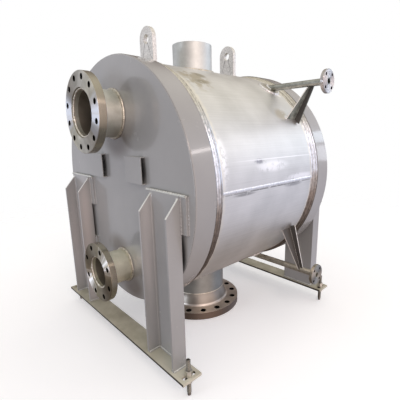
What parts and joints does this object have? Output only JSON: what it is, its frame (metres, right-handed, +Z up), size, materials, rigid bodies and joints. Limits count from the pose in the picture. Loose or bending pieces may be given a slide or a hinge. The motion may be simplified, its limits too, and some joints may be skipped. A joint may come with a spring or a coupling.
{
  "type": "plate and shell heat exchanger",
  "caption": "Horizontal plate and shell heat exchanger: thick round end plates, rolled shell, flanged nozzles, vent, drain and lifting lugs, on channel legs with levelling screws.",
  "frame": {"origin": "floor level, on the upright mid plane, midway between the front and rear supports, at the centre of the four levelling feet", "axes": "+Z up, +Y along the vessel axis from the nozzle cover to the rear, +X to the side of the vent and drain"},
  "size_m": [1.288, 1.261, 1.604],
  "materials": {
    "painted_steel": "satin grey paint",
    "base_paint": "olive grey paint, worn",
    "shell_stainless": "pickled matt stainless",
    "flange_stainless": "turned stainless",
    "weld_metal": "rough weld bead with heat tint",
    "plate_stack": "stacked thin plate edges",
    "lug_steel": "mottled grey, unpainted",
    "screw_steel": "plated and dulled"
  },
  "bodies": {
    "root": {"front_end_plate": "painted_steel", "rear_end_plate": "painted_steel", "left_nameplate_bracket": "painted_steel", "right_nameplate_bracket": "painted_steel", "front_left_leg": "painted_steel", "front_right_leg": "painted_steel", "rear_left_leg": "painted_steel", "rear_right_leg": "painted_steel", "front_left_leg_pad": "painted_steel", "front_right_leg_pad": "painted_steel", "rear_left_leg_pad": "painted_steel", "rear_right_leg_pad": "painted_steel", "front_left_leg_spacer": "painted_steel", "front_right_leg_spacer": "painted_steel", "rear_left_leg_spacer": "painted_steel", "rear_right_leg_spacer": "painted_steel", "front_base_plate": "base_paint", "rear_base_plate": "base_paint", "shell": "shell_stainless", "top_nozzle_stub": "shell_stainless", "upper_nozzle_neck": "shell_stainless", "lower_nozzle_neck": "shell_stainless", "bottom_nozzle_neck": "shell_stainless", "vent_pipe": "shell_stainless", "drain_pipe": "shell_stainless", "vent_pad": "shell_stainless", "drain_pad": "shell_stainless", "vent_brace": "shell_stainless", "drain_brace": "shell_stainless", "upper_nozzle_flange": "flange_stainless", "lower_nozzle_flange": "flange_stainless", "bottom_nozzle_flange": "flange_stainless", "vent_flange": "flange_stainless", "drain_flange": "flange_stainless", "front_girth_weld": "weld_metal", "rear_girth_weld": "weld_metal", "shell_seam_weld": "weld_metal", "plate_pack": "plate_stack", "front_lifting_lug": "lug_steel", "rear_lifting_lug": "lug_steel", "front_left_levelling_screw": "screw_steel", "front_right_levelling_screw": "screw_steel", "rear_left_levelling_screw": "screw_steel", "rear_right_levelling_screw": "screw_steel", "levelling_nuts": "screw_steel"}
  },
  "joints": []
}
